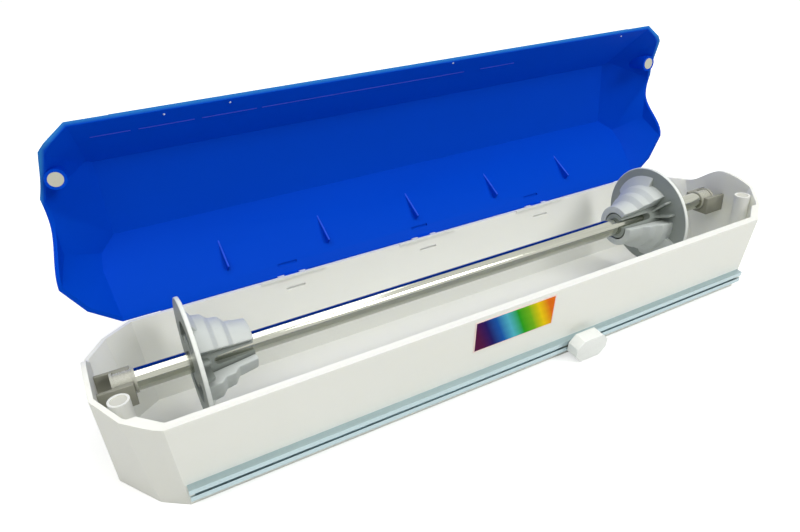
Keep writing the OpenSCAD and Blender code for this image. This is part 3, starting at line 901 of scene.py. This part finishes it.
@dataclass
class Lid:
    """The hinged lid: shell, magnets, crests of the ribs, and a broken bead and gate marks in its front wall.

    Attributes:
        edge_mm: Radius of the lid's edges.
        crease_deg: Angle above which two faces of the lid meet in a crease.
        foot_mm: Depth and height of the front wall's inner edge with the lid open.
        lean_deg: Lean of the front wall.
        bead_mm: Radius of the bead.
        bead_up_mm: Distance of the bead from the inner edge.
        bead_spans_mm: Ends of each stretch of the bead along the lid.
        mark_mm: Radius of a gate mark.
        marks_mm: Place of each gate mark along the lid and from the inner edge.
        crest_mm: Radius of the rounding on a rib's crest.
        crest_line_mm: Depth and height of the two ends of a rib's crest.
        rib_pitch_mm: Spacing of the ribs.
        ribs_each_side: Number of ribs on each side of the middle one.
    """

    edge_mm: float = 0.5
    crease_deg: float = 12.0
    foot_mm: tuple[float, float] = (73.31, 210.57)
    lean_deg: float = 39.43
    bead_mm: float = 0.45
    bead_up_mm: float = 22.0
    bead_spans_mm: tuple[tuple[float, float], ...] = (
        (-238.0, -212.0), (-206.7, -168.7), (-163.4, -123.1), (-119.5, 56.7), (72.9, 108.3)
    )
    mark_mm: float = 0.8
    marks_mm: tuple[tuple[float, float], ...] = ((-189.6, 7.3), (-144.6, 6.2), (37.5, 4.0), (220.0, 6.4))
    crest_mm: float = 0.6
    crest_line_mm: tuple[tuple[float, float], tuple[float, float]] = ((79.9, 83.5), (107.0, 99.4))
    rib_pitch_mm: float = 84.0
    ribs_each_side: int = 2

    def on_wall(self, along_mm: float, up_mm: float) -> Matrix:
        """Places a shape on the inside of the front wall, its Z axis along the lid.

        Args:
            along_mm: Place along X.
            up_mm: Distance from the wall's inner edge.

        Returns:
            The placing matrix.
        """
        lean = math.radians(self.lean_deg)
        depth = self.foot_mm[0] + up_mm * math.cos(lean)
        height = self.foot_mm[1] - up_mm * math.sin(lean)
        place = Vector((along_mm, depth, height)) * MM
        return Matrix.Translation(place) @ Matrix.Rotation(math.pi / 2, 4, "Y")

    def build_bead(self) -> Piece:
        """Builds the bead's stretches, half sunk in the wall.

        Returns:
            The bead.
        """
        mesh = bmesh.new()
        for start, end in self.bead_spans_mm:
            middle = self.on_wall((start + end) / 2, self.bead_up_mm)
            add_rod(mesh, self.bead_mm, (end - start) * MM, middle)
        return link_mesh("lid_bead", mesh)

    def build_crests(self) -> Piece:
        """Builds the rounded crests of the ribs.

        Returns:
            The crests.
        """
        mesh = bmesh.new()
        low, high = (Vector((0.0, *end)) * MM for end in self.crest_line_mm)
        turn = (high - low).to_track_quat("Z", "Y").to_matrix().to_4x4()
        for index in range(-self.ribs_each_side, self.ribs_each_side + 1):
            middle = (low + high) / 2 + Vector((index * self.rib_pitch_mm * MM, 0.0, 0.0))
            add_rod(mesh, self.crest_mm, (high - low).length, Matrix.Translation(middle) @ turn)
        return link_mesh("lid_rib_crests", mesh)

    def build_marks(self) -> Piece:
        """Builds the gate marks as small domes on the wall.

        Returns:
            The gate marks.
        """
        mesh = bmesh.new()
        for along, up in self.marks_mm:
            bmesh.ops.create_uvsphere(
                mesh, u_segments=ROD_SIDES, v_segments=DOME_RINGS, radius=self.mark_mm * MM,
                matrix=self.on_wall(along, up),
            )
        return link_mesh("lid_gate_marks", mesh)

    def build(self) -> None:
        """Builds and dresses the lid."""
        shell = rounded_copy("lid_shell", "lid_moulding", self.edge_mm)
        shade(shell, ROYAL_BLUE.build(), self.crease_deg)
        place_piece(shell, Body.LID, Slot.LID, "lid_shell")
        # The bead and the ribs' crests are painted paler blue as painted highlights, and the gate marks pale
        # as painted glints.
        for build_trim, finish in (
            (self.build_bead, BEAD_HIGHLIGHT_BLUE), (self.build_crests, CREST_HIGHLIGHT_BLUE), (self.build_marks, MARK_GLINT_BLUE)
        ):
            trim = build_trim()
            shade(trim, finish.build())
            place_piece(trim, Body.LID, Slot.LID)
        dress("lid_magnets", NICKEL.build())


@dataclass
class Spindle:
    """The steel tube, its end caps and the two roll holders.

    Attributes:
        disc_mm: Distance from the axis beyond which a flange's edges are rounded.
        disc_edge_mm: Radius of a flange's outer edges.
        step_edge_mm: Radius of a cone's edges.
        crease_deg: Angle above which two faces of a flange meet in a crease.
    """

    disc_mm: float = 42.0
    disc_edge_mm: float = 0.8
    step_edge_mm: float = 0.6
    crease_deg: float = 18.0

    def on_disc(self, middle: Vector) -> bool:
        """Says from its middle if an edge lies on a flange's outline."""
        return math.hypot(middle.y, middle.z - SPINDLE_AXIS_MM) > self.disc_mm

    def build(self) -> None:
        """Builds and dresses the spindle."""
        cone_grey = PALE_GREY.build()
        # The flanges are painted a middle grey as painted shade on their faces, with a painted highlight on
        # their edge.
        flange_shade_and_highlight = FLANGE_SHADE_AND_HIGHLIGHT.build()
        cap_grey = WARM_GREY.build()
        dress("shaft_tube", POLISHED_TUBE.build())
        for side, body in (("left", Body.LEFT_HOLDER), ("right", Body.RIGHT_HOLDER)):
            dress(f"{side}_cap", cap_grey)
            disc = rounded_copy(f"{side}_flange", f"{side}_flange_moulding", self.disc_edge_mm, self.on_disc)
            shade(disc, flange_shade_and_highlight, self.crease_deg)
            place_piece(disc, body, Slot.HOLDER, f"{side}_flange")
            cone = rounded_copy(f"{side}_cone", f"{side}_cone_moulding", self.step_edge_mm)
            shade(cone, cone_grey)
            place_piece(cone, body, Slot.HOLDER, f"{side}_cone")


@dataclass
class Cutter:
    """The sliding cutter: knob, shoe and blade.

    Attributes:
        edge_mm: Radius of the knob's edges.
        back_mm: Depth behind which the knob's edges stay sharp.
    """

    edge_mm: float = 2.2
    back_mm: float = -67.0

    def on_front(self, middle: Vector) -> bool:
        """Says from its middle if an edge is on the knob's front."""
        return middle.y < self.back_mm

    def build(self) -> None:
        """Builds and dresses the cutter."""
        knob = rounded_copy("cutter_knob", "cutter_knob_moulding", self.edge_mm, self.on_front)
        shade(knob, WHITE_ABS.build())
        place_piece(knob, Body.CUTTER, Slot.KNOB, "cutter_knob")
        dress("cutter_shoe", WARM_GREY.build())
        dress("cutter_blade", BRIGHT_STEEL.build())


@dataclass(frozen=True)
class Softbox:
    """One soft studio lamp.

    Attributes:
        name: Name of the lamp.
        place: Place of the lamp.
        side: Length of a side of its square face.
        power: Power in watts.
        target: Point that it faces.
    """

    name: str
    place: tuple[float, float, float]
    side: float
    power: float
    target: tuple[float, float, float] = (0.0, 0.0, 0.08)

    def build(self) -> None:
        """Adds the lamp to the scene."""
        lamp = bpy.data.lights.new(self.name, "AREA")
        lamp.shape = "SQUARE"
        lamp.size = self.side
        lamp.energy = self.power
        holder = bpy.data.objects.new(self.name, lamp)
        holder.location = self.place
        facing = Vector(self.target) - Vector(self.place)
        holder.rotation_euler = facing.to_track_quat("-Z", "Y").to_euler()
        bpy.context.scene.collection.objects.link(holder)


@dataclass
class Studio:
    """Floor, world, lamps and camera.

    Attributes:
        camera_mm: Place of the camera.
        heading_deg: Turn of the view from +Y towards +X.
        dip_deg: Tilt of the view below the horizon.
        roll_deg: Turn of the camera about its view.
        focal_px: Focal length in pixels of the picture.
        near: Distance from which the camera sees.
        floor_half: Half the length of a side of the floor.
        fill: Colour of the even light from all sides.
        fill_strength: Strength of this light.
        lamps: The soft lamps.
    """

    camera_mm: tuple[float, float, float] = (-249.47, -384.55, 305.35)
    heading_deg: float = 26.182
    dip_deg: float = 27.121
    roll_deg: float = 4.095
    focal_px: float = 653.67
    near: float = 0.01
    floor_half: float = 6.0
    fill: str = "#F9F6EA"
    fill_strength: float = 0.2
    lamps: tuple[Softbox, ...] = (
        Softbox("key_box", place=(0.75, -1.45, 1.35), side=0.7, power=17.0),
        Softbox("left_box", place=(-0.9, -0.8, 1.5), side=1.2, power=12.0),
        Softbox("top_box", place=(0.0, -0.3, 1.6), side=1.0, power=6.5),
        Softbox("back_box", place=(0.1, 0.55, 1.6), side=1.0, power=7.0),
    )

    def build(self) -> None:
        """Builds the studio."""
        self.build_world()
        self.build_floor()
        for lamp in self.lamps:
            lamp.build()
        self.build_camera()
        bpy.context.scene.view_settings.view_transform = "Standard"

    def build_world(self) -> None:
        """Makes a white backdrop for the eye and an even, weaker light for the object."""
        world = bpy.data.worlds.new("studio_world")
        world.use_nodes = True
        tree = world.node_tree
        tree.nodes.clear()
        fill = add_node(
            tree, "ShaderNodeBackground", values={"Color": linear(self.fill), "Strength": self.fill_strength}
        ).outputs["Background"]
        white = add_node(
            tree, "ShaderNodeBackground", values={"Color": linear("#FFFFFF"), "Strength": 1.0}
        ).outputs["Background"]
        both = add_node(tree, "ShaderNodeMixShader", links={0: seen_rays(tree), 1: fill, 2: white})
        add_node(tree, "ShaderNodeOutputWorld", links={"Surface": both.outputs["Shader"]})
        bpy.context.scene.world = world

    def build_floor(self) -> None:
        """Lays the paper floor under the object."""
        mesh = bmesh.new()
        bmesh.ops.create_grid(mesh, x_segments=1, y_segments=1, size=self.floor_half)
        floor = link_mesh("floor", mesh)
        paint(floor, FLOOR_PAPER.build())

    def build_camera(self) -> None:
        """Sets the camera at the viewing angle of the picture."""
        data = bpy.data.cameras.new("camera")
        data.sensor_fit = "HORIZONTAL"
        data.sensor_width = SENSOR_MM
        data.lens = self.focal_px * SENSOR_MM / IMAGE_WIDTH_PX
        data.clip_start = self.near
        camera = bpy.data.objects.new("camera", data)
        turn = (
            Matrix.Rotation(-math.radians(self.heading_deg), 4, "Z")
            @ Matrix.Rotation(math.radians(90 - self.dip_deg), 4, "X")
            @ Matrix.Rotation(-math.radians(self.roll_deg), 4, "Z")
        )
        camera.matrix_world = Matrix.Translation(Vector(self.camera_mm) * MM) @ turn
        bpy.context.scene.collection.objects.link(camera)
        bpy.context.scene.camera = camera
        axes = camera.matrix_world.to_3x3()
        log.info("camera right %s up %s", tuple(axes.col[0]), tuple(axes.col[1]))


def main() -> None:
    """Builds the dispenser's looks and the studio around it."""
    logging.basicConfig(level=logging.INFO, format="%(name)s: %(message)s")
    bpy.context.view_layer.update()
    for part in (Trough(), Lid(), Spindle(), Cutter(), Studio()):
        part.build()
        log.info("built %s", type(part).__name__)


if __name__ == "__main__":
    main()
